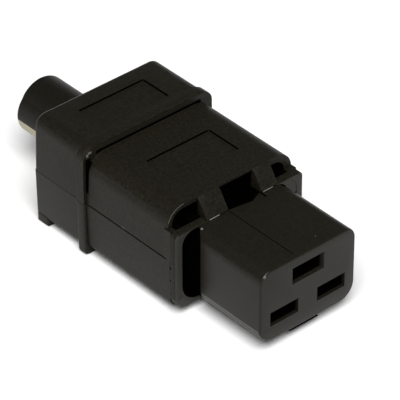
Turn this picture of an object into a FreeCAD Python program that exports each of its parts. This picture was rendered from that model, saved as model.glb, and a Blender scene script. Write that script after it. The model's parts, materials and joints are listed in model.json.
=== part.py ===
import FreeCAD, Part
import os
import re
import Sketcher

# Rewireable C19 appliance connector, millimetres. The origin is the middle of the mating face,
# +X points out of that face, +Y runs across the connector and +Z points up, the earth contact's side.

os.makedirs("parts", exist_ok=True)
doc = FreeCAD.newDocument("c19_connector")
sheet = doc.addObject("Spreadsheet::Sheet", "Sizes")

sizes = {
    # contact carrier, the block that enters the inlet
    "carrierWidth": 28.0, "carrierHeight": 19.2, "carrierTopRadius": 3.2, "carrierBottomRadius": 4.2,
    "carrierEdge": 0.5, "carrierReach": 22.0, "carrierTail": 2.6, "carrierFit": 0.15,
    "keyRibWidth": 8.3, "keyRibHeight": 0.45, "keyRibShift": -0.6, "keyRibLength": 20.0,
    "latchNotchDepth": 4.0, "latchNotchLead": 0.9, "neckLead": 2.7, "neckDepth": 1.9, "neckEnd": 0.2,
    "flangeProud": 1.2, "flangeThick": 1.8, "flangeGap": 0.2,
    "trayThick": 2.0, "trayLength": 12.0, "trayGap": 0.3, "barrierThick": 1.2,
    # pin slots
    "poleSpacing": 13.8, "poleInset": 5.9, "earthInset": 4.75, "slotWidth": 8.2, "slotHeight": 3.7,
    "earthLeadIn": 0.6, "earthLeadDepth": 1.2, "slotDepth": 7.0, "cavityWidth": 9.0, "cavityHeight": 4.1,
    # collar, the front plate of the upper shell
    "collarProud": 0.1, "collarThick": 2.1, "collarTopWall": 0.25, "collarFloorWall": 0.55, "collarRadius": 3.0,
    "collarCorner": 1.1, "wingDrop": 4.3, "wingGap": 0.35, "moatWall": 1.7,
    "windowTopRadius": 4.0, "windowBottomRadius": 6.0,
    # housing
    "partingRise": 1.8, "housingWidth": 37.0, "shoulderRise": 5.0, "housingTopRadius": 4.5,
    "housingBottomRadius": 1.5, "bodyLength": 31.1, "shoulderRun": 2.3, "sideWall": 2.0, "roofWall": 1.8,
    "noseFloor": 0.75, "floorWall": 1.6, "rearWall": 2.0, "bulkheadThick": 1.4, "pocketDepth": 7.0,
    "pocketRoof": 1.2, "cornerWall": 2.3, "cornerPocketRadius": 2.0,
    "tongueInner": 3.4, "tongueOuter": 9.5, "middlePocketEnd": 6.5, "tongueKnee": 3.0,
    # cap and lip
    "capLength": 17.5, "capStep": 1.8, "capDropStep": 0.4, "capTopRadius": 2.8, "capEdge": 1.2,
    "lipLength": 3.1, "lipProud": 0.6, "lipStep": 0.1, "lipDropStep": 1.5, "lipRadius": 1.2, "lipEdge": 0.4,
    "capLabelWidth": 18.9, "capLabelLength": 8.6, "capLabelShift": 0.7,
    "bodyLabelWidth": 18.3, "bodyLabelLength": 10.1, "bodyLabelShift": 10.4, "labelDepth": 0.25,
    "footLength": 3.8, "footWidth": 5.2, "footSetBack": 0.2, "footInset": 1.3, "footEdge": 0.4,
    # cord sleeve
    "sleeveRadius": 6.65, "sleeveReach": 20.9, "sleeveBore": 4.9, "sleeveEdge": 0.9, "sleeveFit": 0.1,
    "sleeveFlange": 1.6, "sleeveFlangeProud": 1.9, "sleeveTail": 1.2,
    # contacts
    "contactWidth": 8.8, "contactHeight": 3.7, "contactSheet": 0.35, "contactLength": 17.0, "contactSlit": 1.0,
    "tailWidth": 6.0, "tailSheet": 0.8, "tailReach": 7.6,
    # terminals
    "terminalLength": 7.6, "terminalWidth": 6.0, "terminalHeight": 6.2, "wireBore": 1.8,
    "terminalGap": 0.4, "terminalScrewShank": 1.7, "terminalScrewHead": 2.8, "terminalScrewHeadHeight": 1.6,
    "terminalScrewFit": 0.1, "terminalScrewLift": 0.5,
    "platePad": 5.0, "plateThick": 0.8,
    # cord clamp
    "clampLength": 5.0, "clampEnd": 3.0, "clampThick": 3.6, "clampLift": 4.6, "clampScrewInset": 5.0,
    "clampArch": 5.6, "clampArchShift": 1.2, "clampScrewShank": 1.4, "clampScrewHead": 2.6,
    "clampScrewHeadHeight": 1.8, "clampScrewLength": 9.0, "clampPostRadius": 2.6, "saddleThick": 3.0,
    "saddleDrop": 3.1, "clampInset": 7.9,
    # housing screws
    "screwInset": 4.5, "screwShank": 1.35, "screwHead": 2.5, "screwHeadHeight": 1.9, "screwLength": 13.5,
    "screwSlot": 0.7, "screwFit": 0.15, "screwFromRear": 11.1, "screwAfter": 10.6,
    "bossRadius": 2.8,
}
# sizes that follow from others
derived = {
    "carrierDepth": "carrierReach + pocketDepth + bulkheadThick + (flangeGap + flangeThick) * 2 + carrierTail",
    "trayWidth": "screwSpacing - (bossRadius + screwHead - screwShank + trayGap) * 2",
    "collarWidth": "housingWidth + collarProud * 2",
    "collarRise": "carrierHeight / 2 + carrierFit + collarTopWall",
    "collarDrop": "carrierHeight / 2 + carrierFit + collarFloorWall",
    "windowWidth": "collarWidth - moatWall * 2",
    "housingTop": "carrierHeight / 2 + shoulderRise",
    "housingDrop": "carrierHeight / 2 + carrierFit + noseFloor",
    "cornerPocketSide": "housingWidth / 2 - cornerWall",
    "capTop": "housingTop + capStep",
    "capDrop": "housingDrop + capDropStep",
    "lipTop": "capTop + lipStep",
    "lipDrop": "capDrop + lipDropStep",
    "poleDrop": "carrierHeight / 2 - poleInset",
    "earthRise": "carrierHeight / 2 - earthInset",
    "clampScrewSpacing": "screwSpacing - clampScrewInset * 2",
    "clampSpan": "clampScrewSpacing + clampEnd * 2",
    "clampBack": "capLength - clampInset",
    "screwSpacing": "housingWidth - screwInset * 2",
    "rearScrewBack": "capLength - screwFromRear",
    "frontScrewBack": "carrierDepth - carrierReach + screwAfter",
}
for row, (alias, number) in enumerate(sizes.items(), start=1):
    sheet.set("A%d" % row, alias)
    sheet.set("B%d" % row, str(number))
    sheet.setAlias("B%d" % row, alias)
doc.recompute()

aliasWord = re.compile(r"\b(" + "|".join(sizes) + r")\b")
derivedWord = re.compile(r"\b(" + "|".join(derived) + r")\b")


def spelled_out(expression):
    """The same expression with every derived size written as the sizes that it follows from."""
    while derivedWord.search(expression):
        expression = derivedWord.sub(lambda found: "(" + derived[found.group(1)] + ")", expression)
    return expression


def bound(expression):
    """The same expression with every size name pointing at the sheet."""
    return aliasWord.sub(r"Sizes.\1", spelled_out(expression))


def number(expression):
    return float(sheet.evalExpression(spelled_out(expression)))


def bind(feature, prop, expression):
    feature.setExpression(prop, bound(expression))


# Places along the connector, written once from the driving sizes.
collarFront = "(0 - carrierReach)"
collarRear = "(0 - carrierReach - collarThick)"
shoulder = "(0 - carrierReach - shoulderRun)"
pocketRear = "(0 - carrierReach - pocketDepth)"
bulkheadRear = "(0 - carrierReach - pocketDepth - bulkheadThick)"
lipFront = "(0 - carrierReach - bodyLength)"
lipRear = "(0 - carrierReach - bodyLength - lipLength)"
rear = "(0 - carrierReach - bodyLength - capLength)"
carrierRear = "(0 - carrierDepth)"
trayRear = "(0 - carrierDepth - trayLength)"
halfBody = "(housingWidth / 2)"
halfInside = "(housingWidth / 2 - sideWall)"
carrierSide = "(carrierWidth / 2)"
carrierTop = "(carrierHeight / 2)"


def new_body(label):
    body = doc.addObject("PartDesign::Body", label)
    body.Label = label
    return body


def plane(body, role):
    return next(item for item in body.Origin.OriginFeatures if item.Role == role)


def block(body, x, y, z, cut=False):
    """A box between two limits on each axis, added to or cut from the body."""
    kind = "PartDesign::SubtractiveBox" if cut else "PartDesign::AdditiveBox"
    box = body.newObject(kind, "Pocket" if cut else "Block")
    for prop, (low, high) in (("Length", x), ("Width", y), ("Height", z)):
        bind(box, prop, "%s - (%s)" % (high, low))
    for axis, (low, high) in (("x", x), ("y", y), ("z", z)):
        bind(box, "Placement.Base." + axis, low)
    return box


turns = {
    "x": FreeCAD.Rotation(FreeCAD.Vector(0, 1, 0), 90),
    "z": FreeCAD.Rotation(),
}


def rod(body, axis, centre, radius, low, high, cut=False):
    """A cylinder along X or Z; centre holds the two other coordinates in X, Y, Z order."""
    kind = "PartDesign::SubtractiveCylinder" if cut else "PartDesign::AdditiveCylinder"
    cylinder = body.newObject(kind, "Bore" if cut else "Rod")
    cylinder.Placement = FreeCAD.Placement(FreeCAD.Vector(), turns[axis])
    bind(cylinder, "Radius", radius)
    bind(cylinder, "Height", "%s - (%s)" % (high, low))
    place = dict(zip("yz" if axis == "x" else "xy", centre))
    place[axis] = low
    for name, expression in place.items():
        bind(cylinder, "Placement.Base." + name, expression)
    return cylinder


def outline(body, role, points, offset):
    """A closed outline of straight edges whose corners are each held by two bound distances."""
    sketch = body.newObject("Sketcher::SketchObject", "Outline")
    sketch.AttachmentSupport = (plane(body, role), "")
    sketch.MapMode = "FlatFace"
    bind(sketch, "AttachmentOffset.Base.z", offset)
    corners = [FreeCAD.Vector(number(u), number(v), 0) for u, v in points]
    for index, corner in enumerate(corners):
        sketch.addGeometry(Part.LineSegment(corner, corners[(index + 1) % len(corners)]))
    for index, (u, v) in enumerate(points):
        following = (index + 1) % len(points)
        sketch.addConstraint(Sketcher.Constraint("Coincident", index, 2, following, 1))
        for kind, expression in (("DistanceX", u), ("DistanceY", v)):
            held = sketch.addConstraint(Sketcher.Constraint(kind, -1, 1, index, 1, number(expression)))
            sketch.setExpression("Constraints[%d]" % held, bound(expression))
    return sketch


def prism(body, role, points, low, high, cut=False):
    """The outline pushed from low to high along its plane's global axis."""
    faces_back = role == "XZ_Plane"
    start = high if faces_back != cut else low
    if cut:
        start = low if faces_back else high
    sketch = outline(body, role, points, "0 - (%s)" % start if faces_back else start)
    feature = body.newObject("PartDesign::Pocket" if cut else "PartDesign::Pad", "Prism")
    feature.Profile = sketch
    bind(feature, "Length", "%s - (%s)" % (high, low))
    return feature


def soften(body, radius, pick, kind="PartDesign::Fillet"):
    """Rounds (or chamfers) the edges of the body so far that pick chooses by their two end points."""
    doc.recompute()
    base = body.Tip
    if "Invalid" in base.State or "Touched" in base.State:
        raise RuntimeError("failed before: %s of %s" % (base.Label, body.Label))
    chosen = []
    for index, edge in enumerate(base.Shape.Edges, start=1):
        ends = [vertex.Point for vertex in edge.Vertexes]
        if len(ends) == 2 and pick(ends[0], ends[1]):
            chosen.append("Edge%d" % index)
    if not chosen:
        raise RuntimeError("no edge to soften on " + body.Label)
    feature = body.newObject(kind, "Soften")
    feature.Base = (base, chosen)
    bind(feature, "Size" if kind.endswith("Chamfer") else "Radius", radius)
    return feature


def near(first, second):
    return abs(first - second) < 0.001


def along_x(a, b, side=None, height=None):
    """True for an edge along X at the given |y| and z."""
    return (near(a.y, b.y) and near(a.z, b.z) and not near(a.x, b.x)
            and (side is None or near(abs(a.y), side)) and (height is None or near(a.z, height)))


def side_span(half):
    return ("0 - %s" % half, half)


# ---- contact carrier ----

def contact_carrier():
    body = new_body("contact_carrier")
    side, top = number(carrierSide), number(carrierTop)
    block(body, (carrierRear, "0"), side_span(carrierSide), side_span(carrierTop))
    soften(body, "carrierTopRadius", lambda a, b: along_x(a, b, side, top))
    soften(body, "carrierBottomRadius", lambda a, b: along_x(a, b, side, -top))
    soften(body, "carrierEdge", lambda a, b: near(a.x, 0) and near(b.x, 0))
    # flange held between the bulkhead and the retaining ribs of the shells
    flange_front = "%s - flangeGap" % bulkheadRear
    block(body, ("%s - flangeThick" % flange_front, flange_front), side_span("(%s + flangeProud)" % carrierSide),
          ("0 - %s + carrierBottomRadius" % carrierTop, "%s + flangeProud" % carrierTop))
    # key rib under the nose and latch notch behind the visible top
    block(body, ("0 - keyRibLength", "0 - carrierEdge"),
          ("keyRibShift - keyRibWidth / 2", "keyRibShift + keyRibWidth / 2"),
          ("0 - %s - keyRibHeight" % carrierTop, "0 - %s + 1" % carrierTop))
    notch = [("%s - shoulderRun - 3" % collarFront, "0 - tongueInner"), ("%s - 0.2" % collarFront, "0 - tongueInner"),
             ("%s + latchNotchLead" % collarFront, "middlePocketEnd / 2"),
             ("%s - latchNotchLead" % collarFront, "middlePocketEnd"),
             ("%s - shoulderRun - 3" % collarFront, "middlePocketEnd")]
    prism(body, "XY_Plane", notch, "%s - latchNotchDepth / 2" % carrierTop, "%s + 1" % carrierTop, cut=True)
    # neck behind the nose, in the collar's pockets
    for low, high in (("0 - %s - 1" % carrierSide, "0 - %s + neckDepth" % carrierSide),
                      ("%s - neckDepth" % carrierSide, "%s + 1" % carrierSide)):
        block(body, ("%s + neckEnd" % pocketRear, "%s + neckLead" % collarFront), (low, high),
              ("0 - %s - 1" % carrierTop, "%s + 1" % carrierTop), cut=True)
    # three slots and the cavities behind them
    places = (("0 - poleSpacing / 2", "0 - poleDrop"), ("poleSpacing / 2", "0 - poleDrop"), ("0", "earthRise"))
    for y, z in places:
        block(body, ("0 - slotDepth", "1"), ("%s - slotWidth / 2" % y, "%s + slotWidth / 2" % y),
              ("%s - slotHeight / 2" % z, "%s + slotHeight / 2" % z), cut=True)
        block(body, ("%s - 1" % carrierRear, "0 - slotDepth"),
              ("%s - cavityWidth / 2" % y, "%s + cavityWidth / 2" % y),
              ("%s - cavityHeight / 2" % z, "%s + cavityHeight / 2" % z), cut=True)
    block(body, ("0 - earthLeadDepth", "1"),
          ("0 - slotWidth / 2 - earthLeadIn", "slotWidth / 2 + earthLeadIn"),
          ("earthRise - slotHeight / 2 - earthLeadIn / 2", "earthRise + slotHeight / 2 + earthLeadIn / 2"), cut=True)
    # terminal tray: a floor under the pole tails, a pillar under the earth tail and two barriers
    pole_floor = "0 - poleDrop + contactHeight / 2 - tailSheet"
    earth_floor = "earthRise - contactHeight / 2"
    block(body, (trayRear, "%s + 0.5" % carrierRear), side_span("(trayWidth / 2)"),
          ("%s - trayThick" % pole_floor, pole_floor))
    pillar = "(poleSpacing / 2 - terminalWidth / 2 - terminalGap - barrierThick / 2)"
    block(body, (trayRear, "%s + 0.5" % carrierRear), side_span(pillar),
          (pole_floor, earth_floor))
    return body


# ---- shells ----

def screw_head(name):
    """Height of the underside of a housing screw's head, sunk in the floor."""
    floor = "capDrop" if name.startswith("rear") else "housingDrop"
    return "(0 - %s + screwHeadHeight + 0.5)" % floor


def screw_places():
    """The four housing screws: name, x and y."""
    xs = (("front", "%s - frontScrewBack" % collarFront), ("rear", "%s - rearScrewBack" % lipFront))
    for end, x in xs:
        for hand, y in (("left", "0 - screwSpacing / 2"), ("right", "screwSpacing / 2")):
            yield end + "_" + hand, x, y


def clamp_places():
    x = "(%s - clampBack)" % lipFront
    for hand, y in (("left", "0 - clampScrewSpacing / 2"), ("right", "clampScrewSpacing / 2")):
        yield hand, x, y


def lip_band(body, far, radius, heights):
    """Half of the raised band round the housing, its outer corners rounded and then its front rim."""
    side, height, front = number("housingWidth / 2 + lipProud"), number(far), number(lipFront)
    block(body, (lipRear, lipFront), side_span("(housingWidth / 2 + lipProud)"), heights)
    soften(body, radius, lambda a, b: along_x(a, b, side, height))
    soften(body, "lipEdge", lambda a, b: near(a.x, front) and near(b.x, front)
           and (near(a.z, height) or near(b.z, height)))


def upper_shell():
    body = new_body("upper_shell")
    half, top, cap_top, rear_x = number(halfBody), number("housingTop"), number("capTop"), number(rear)
    block(body, (rear, shoulder), side_span(halfBody), ("partingRise", "housingTop"))
    soften(body, "housingTopRadius", lambda a, b: along_x(a, b, half, top))
    block(body, (rear, lipFront), side_span(halfBody), ("partingRise", "capTop"))
    soften(body, "capTopRadius", lambda a, b: along_x(a, b, half, cap_top))
    soften(body, "capEdge", lambda a, b: near(a.x, rear_x) and near(b.x, rear_x)
           and min(a.z, b.z) > number("partingRise") + 1)
    lip_band(body, "lipTop", "capTopRadius + lipProud", ("partingRise", "lipTop"))
    # inside of the cap and of the body
    block(body, ("%s + rearWall" % rear, "%s - rearWall / 2" % lipFront), side_span(halfInside),
          ("partingRise - 1", "capTop - roofWall"), cut=True)
    block(body, ("%s + rearWall" % rear, bulkheadRear), side_span(halfInside),
          ("partingRise - 1", "housingTop - roofWall"), cut=True)
    # collar plate, joined to the shell over its full width above the parting line
    block(body, ("%s - 1" % shoulder, collarRear), side_span(halfBody), ("partingRise", "collarRise"))
    block(body, (collarRear, collarFront), side_span("(collarWidth / 2)"), ("0 - collarDrop", "collarRise"))
    collar_side = number("collarWidth / 2")
    soften(body, "collarRadius", lambda a, b: along_x(a, b, collar_side, -number("collarDrop")))
    # tongues that slope from the roof down onto the carrier
    tongue = [("%s - 1" % shoulder, "collarRise - 1"), ("%s - 1" % shoulder, "housingTop"),
              (shoulder, "housingTop"), ("%s + shoulderRun * 0.75" % shoulder, "housingTop - tongueKnee"),
              (collarFront, "collarRise"), (collarFront, "collarRise - 1")]
    for low, high in (("0 - tongueOuter", "0 - tongueInner"), ("middlePocketEnd", "tongueOuter")):
        prism(body, "XZ_Plane", tongue, low, high)
    # window round the carrier, with a moat at each side
    window_side, window_top = number("windowWidth / 2"), number("carrierHeight / 2 + carrierFit")
    block(body, ("%s - 0.5" % shoulder, "%s + 1" % collarFront), side_span("(windowWidth / 2)"),
          side_span("(carrierHeight / 2 + carrierFit)"), cut=True)
    soften(body, "windowTopRadius", lambda a, b: along_x(a, b, window_side, window_top)
           and max(a.x, b.x) > number(collarRear))
    soften(body, "windowBottomRadius", lambda a, b: along_x(a, b, window_side, -window_top))
    for sign in ("", "0 - "):
        reach = "(collarWidth / 2 + 1)"
        corner = [(sign + "(collarWidth / 2 - collarCorner - 1)", "collarRise + 1"),
                  (sign + reach, "collarRise + 1"), (sign + reach, "collarRise - collarCorner - 1")]
        prism(body, "YZ_Plane", corner, collarRear, "%s + 1" % collarFront, cut=True)
    block(body, (collarRear, collarFront), ("%s + wingGap" % carrierSide, "windowWidth / 2 + 0.5"),
          ("%s - wingDrop" % carrierTop, "%s + carrierFit" % carrierTop))
    # passage of the carrier through the bulkhead, and the deep pockets round it
    block(body, ("%s - 1" % bulkheadRear, "%s + 0.1" % pocketRear), side_span("(%s + carrierFit)" % carrierSide),
          ("partingRise - 1", "%s + carrierFit" % carrierTop), cut=True)
    block(body, (pocketRear, "%s - 0.4" % shoulder), side_span("(windowWidth / 2)"),
          ("partingRise - 1", "%s + carrierFit" % carrierTop), cut=True)
    pocket_top = "housingTop - pocketRoof"
    spans = (("0 - cornerPocketSide", "0 - tongueOuter"), ("0 - tongueInner", "middlePocketEnd"),
             ("tongueOuter", "cornerPocketSide"))
    for low, high in spans:
        block(body, (pocketRear, "%s + 0.1" % shoulder), (low, high), ("collarRise", pocket_top), cut=True)
        block(body, (pocketRear, "%s + 0.1" % collarRear), (low, high), ("carrierHeight / 2", "collarRise"), cut=True)
    inner_side, inner_top = number("cornerPocketSide"), number(pocket_top)
    soften(body, "cornerPocketRadius", lambda a, b: along_x(a, b, inner_side, inner_top))
    block(body, (collarRear, "%s + 1" % collarFront), ("0 - tongueInner", "middlePocketEnd"),
          ("carrierHeight / 2", "collarRise + 1"), cut=True)
    # sleeve seat, screw bosses and the ribs behind the carrier's flange
    rod(body, "x", ("0", "partingRise"), "sleeveRadius + sleeveFit", "%s - 1" % rear, "%s + rearWall + 1" % rear, cut=True)
    rib_front = "%s - flangeGap * 2 - flangeThick" % bulkheadRear
    for low, high in (("0 - %s - 0.5" % halfInside, "0 - %s - carrierFit" % carrierSide),
                      ("%s + carrierFit" % carrierSide, "%s + 0.5" % halfInside)):
        block(body, ("%s - flangeThick" % rib_front, rib_front), (low, high), ("partingRise", "housingTop - roofWall / 2"))
    for name, x, y in screw_places():
        roof = "capTop - roofWall / 2" if name.startswith("rear") else "housingTop - roofWall / 2"
        rod(body, "z", (x, y), "bossRadius", "partingRise", roof)
        rod(body, "z", (x, y), "screwShank + screwFit", "partingRise - 1",
            "%s + screwLength + 0.5" % screw_head(name), cut=True)
    # shallow label recesses
    block(body, ("%s - capLabelShift - capLabelLength" % lipRear, "%s - capLabelShift" % lipRear),
          side_span("(capLabelWidth / 2)"), ("capTop - labelDepth", "capTop + 1"), cut=True)
    block(body, ("%s - bodyLabelShift - bodyLabelLength" % collarFront, "%s - bodyLabelShift" % collarFront),
          side_span("(bodyLabelWidth / 2)"), ("housingTop - labelDepth", "housingTop + 1"), cut=True)
    return body


def lower_shell():
    body = new_body("lower_shell")
    half, low, cap_low = number(halfBody), -number("housingDrop"), -number("capDrop")
    block(body, (rear, collarRear), side_span(halfBody), ("0 - housingDrop", "partingRise"))
    soften(body, "housingBottomRadius", lambda a, b: along_x(a, b, half, low))
    block(body, (rear, lipFront), side_span(halfBody), ("0 - capDrop", "partingRise"))
    soften(body, "housingBottomRadius", lambda a, b: along_x(a, b, half, cap_low))
    lip_band(body, "0 - lipDrop", "lipRadius", ("0 - lipDrop", "partingRise"))
    foot_x = number("%s + footSetBack" % rear)
    for sign in (-1, 1):
        span = ("%s - footInset - footWidth" % halfBody, "%s - footInset" % halfBody)
        if sign < 0:
            span = ("0 - %s + footInset" % halfBody, "0 - %s + footInset + footWidth" % halfBody)
        block(body, ("%s + footSetBack" % rear, "%s + footSetBack + footLength" % rear), span,
              ("0 - lipDrop", "0 - capDrop + 1"))
    soften(body, "footEdge", lambda a, b: near(a.z, b.z) and near(a.z, -number("lipDrop"))
           and max(a.x, b.x) < foot_x + number("footLength") + 0.1)
    # inside
    block(body, ("%s + rearWall" % rear, bulkheadRear), side_span(halfInside),
          ("0 - housingDrop + floorWall", "partingRise + 1"), cut=True)
    block(body, ("%s - carrierFit * 2" % carrierRear, "%s + 0.1" % pocketRear),
          side_span("(%s + carrierFit)" % carrierSide), ("0 - housingDrop + noseFloor", "partingRise + 1"), cut=True)
    block(body, (pocketRear, "%s + 1" % collarRear), side_span("(windowWidth / 2)"),
          ("0 - housingDrop + noseFloor", "partingRise + 1"), cut=True)
    # saddle under the cord, posts for the clamp screws and bosses for the housing screws
    clamp_x = "(%s - clampBack)" % lipFront
    block(body, ("%s - saddleThick / 2" % clamp_x, "%s + saddleThick / 2" % clamp_x),
          side_span("(clampScrewSpacing / 2)"), ("0 - housingDrop + floorWall / 2", "partingRise - saddleDrop"))
    rod(body, "x", ("0", "partingRise + clampArchShift"), "clampArch", "%s - 4" % clamp_x, "%s + 4" % clamp_x, cut=True)
    for hand, x, y in clamp_places():
        rod(body, "z", (x, y), "clampPostRadius", "0 - housingDrop + floorWall / 2", "partingRise + clampLift - 1")
        rod(body, "z", (x, y), "clampScrewShank + screwFit",
            "partingRise + clampLift + clampThick - 1 - clampScrewLength - 0.5", "partingRise + clampLift", cut=True)
    rib_front = "%s - flangeGap * 2 - flangeThick" % bulkheadRear
    for low_y, high_y in (("0 - %s - 0.5" % halfInside, "0 - %s - carrierFit" % carrierSide),
                          ("%s + carrierFit" % carrierSide, "%s + 0.5" % halfInside)):
        block(body, ("%s - flangeThick" % rib_front, rib_front), (low_y, high_y),
              ("0 - housingDrop + floorWall / 2", "partingRise"))
    for name, x, y in screw_places():
        floor = "0 - capDrop" if name.startswith("rear") else "0 - housingDrop"
        rod(body, "z", (x, y), "bossRadius + screwHead - screwShank", "0 - housingDrop + floorWall / 2", "partingRise")
        rod(body, "z", (x, y), "screwShank + screwFit", "%s - 1" % floor, "partingRise + 1", cut=True)
        rod(body, "z", (x, y), "screwHead + screwFit", "%s - 1" % floor, screw_head(name), cut=True)
    rod(body, "x", ("0", "partingRise"), "sleeveRadius + sleeveFit", "%s - 1" % rear, "%s + rearWall + 1" % rear, cut=True)
    return body


# ---- cord sleeve ----

def revolved(label, profile, axis="x"):
    """A turned piece; the profile holds (along, radius) pairs round the chosen axis."""
    body = new_body(label)
    if axis == "x":
        sketch = outline(body, "XZ_Plane", profile, "0")
        reference = "H_Axis"
    else:
        sketch = outline(body, "XZ_Plane", [(radius, along) for along, radius in profile], "0")
        reference = "V_Axis"
    turned = body.newObject("PartDesign::Revolution", "Turned")
    turned.Profile = sketch
    turned.ReferenceAxis = (sketch, [reference])
    turned.Angle = 360
    return body


def cord_sleeve():
    end = "(%s - sleeveReach)" % rear
    seat = "(%s + rearWall + 0.3)" % rear
    profile = [(end, "sleeveBore"), (end, "sleeveRadius - sleeveEdge"), ("%s + sleeveEdge" % end, "sleeveRadius"),
               (seat, "sleeveRadius"), (seat, "sleeveRadius + sleeveFlangeProud"),
               ("%s + sleeveFlange" % seat, "sleeveRadius + sleeveFlangeProud"),
               ("%s + sleeveFlange" % seat, "sleeveRadius - 0.8"),
               ("%s + sleeveFlange + sleeveTail" % seat, "sleeveRadius - 0.8"),
               ("%s + sleeveFlange + sleeveTail" % seat, "sleeveBore")]
    body = revolved("cord_sleeve", profile)
    bind(body, "Placement.Base.z", "partingRise")
    return body


# ---- contacts and terminals ----

def contact(label, y, z, turned_over):
    """A folded brass receptacle, open in front, with a flat tail that carries the terminal."""
    body = new_body(label)
    half, rise, wall, slit = "contactWidth / 2", "contactHeight / 2", "contactSheet", "contactSlit / 2"
    profile = [("0 - " + half, "0 - " + rise), ("0 - " + slit, "0 - " + rise),
               ("0 - " + slit, "0 - %s + %s" % (rise, wall)),
               ("0 - %s + %s" % (half, wall), "0 - %s + %s" % (rise, wall)),
               ("0 - %s + %s" % (half, wall), "%s - %s" % (rise, wall)), ("%s - %s" % (half, wall), "%s - %s" % (rise, wall)),
               ("%s - %s" % (half, wall), "0 - %s + %s" % (rise, wall)), (slit, "0 - %s + %s" % (rise, wall)),
               (slit, "0 - " + rise), (half, "0 - " + rise), (half, rise), ("0 - " + half, rise)]
    tail = ("%s - tailSheet" % rise, rise)
    if turned_over:
        profile = [(across, "0 - (%s)" % up) for across, up in profile]
        tail = ("0 - " + rise, "0 - %s + tailSheet" % rise)
    prism(body, "YZ_Plane", profile, "0 - contactLength", "0")
    block(body, ("0 - carrierDepth - tailReach + slotDepth + 0.3", "0 - contactLength + 1"),
          side_span("(tailWidth / 2)"), tail)
    bind(body, "Placement.Base.x", "0 - slotDepth - 0.3")
    bind(body, "Placement.Base.y", y)
    bind(body, "Placement.Base.z", z)
    return body


def pillar_box(label, y, z):
    """A brass terminal pillar with a cross hole for the wire and a screw hole from above."""
    solid = doc.addObject("Part::Box", label + "_stock")
    for prop, size in (("Length", "terminalLength"), ("Width", "terminalWidth"), ("Height", "terminalHeight")):
        bind(solid, prop, size)
    x = terminalFront + " - terminalLength"
    for axis, low in (("x", x), ("y", "%s - terminalWidth / 2" % y), ("z", z)):
        bind(solid, "Placement.Base." + axis, low)
    wire = doc.addObject("Part::Cylinder", label + "_wire_hole")
    wire.Placement = FreeCAD.Placement(FreeCAD.Vector(), turns["x"])
    bind(wire, "Radius", "wireBore")
    bind(wire, "Height", "terminalLength + 2")
    for axis, low in (("x", x + " - 1"), ("y", y), ("z", "%s + wireBore + 1" % z)):
        bind(wire, "Placement.Base." + axis, low)
    screw = doc.addObject("Part::Cylinder", label + "_screw_hole")
    bind(screw, "Radius", "terminalScrewShank + terminalScrewFit")
    bind(screw, "Height", "terminalHeight")
    for axis, low in (("x", terminalMiddle), ("y", y), ("z", "%s + wireBore + 1" % z)):
        bind(screw, "Placement.Base." + axis, low)
    holes = doc.addObject("Part::Fuse", label + "_holes")
    holes.Base, holes.Tool = wire, screw
    pillar = doc.addObject("Part::Cut", label)
    pillar.Base, pillar.Tool = solid, holes
    pillar.Label = label
    return pillar


def screw(label, x, y, z, shank, head, head_height, length, down=True):
    """A slotted screw; z is the underside of its head and down is the way its shank points."""
    sign = "0 - " if down else ""
    other = "" if down else "0 - "
    profile = [("%s(%s)" % (sign, length), "0"), ("%s(%s)" % (sign, length), "%s - 0.4" % shank),
               ("%s(%s - 0.4)" % (sign, length), shank), ("0", shank), ("0", head),
               ("%s(%s * 0.6)" % (other, head_height), head), ("%s(%s)" % (other, head_height), "%s * 0.75" % head),
               ("%s(%s)" % (other, head_height), "0")]
    body = revolved(label, profile, "z")
    slot = (("%s * 0.5" % head_height, "%s + 1" % head_height) if down
            else ("0 - %s - 1" % head_height, "0 - %s * 0.5" % head_height))
    block(body, side_span("(%s + 1)" % head), side_span("(screwSlot / 2)"), slot, cut=True)
    for axis, expression in (("x", x), ("y", y), ("z", z)):
        bind(body, "Placement.Base." + axis, expression)
    return body


def wire_plate(label, y, z):
    """The small plate that a terminal screw presses on the wire."""
    body = new_body(label)
    block(body, ("%s - platePad / 2" % terminalMiddle, "%s + platePad / 2" % terminalMiddle),
          ("%s - wireBore * 0.7" % y, "%s + wireBore * 0.7" % y), (z, "%s + plateThick" % z))
    return body


def cord_clamp():
    body = new_body("cord_clamp")
    x = "(%s - clampBack)" % lipFront
    floor = "(partingRise + clampLift - 1)"
    block(body, ("%s - clampLength / 2" % x, "%s + clampLength / 2" % x), side_span("(clampSpan / 2)"),
          (floor, "%s + clampThick" % floor))
    ends = number("clampSpan / 2")
    soften(body, "clampLength / 2 - 0.2", lambda a, b: near(a.x, b.x) and near(a.y, b.y) and near(abs(a.y), ends))
    rod(body, "x", ("0", "partingRise - clampArchShift"), "clampArch", "%s - 4" % x, "%s + 4" % x, cut=True)
    for hand, screw_x, y in clamp_places():
        rod(body, "z", (screw_x, y), "clampScrewShank + screwFit", "%s - 1" % floor, "%s + clampThick + 1" % floor, cut=True)
    return body


terminalFront = "(%s - 0.6)" % carrierRear
terminalMiddle = "(%s - terminalLength / 2)" % terminalFront

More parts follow.
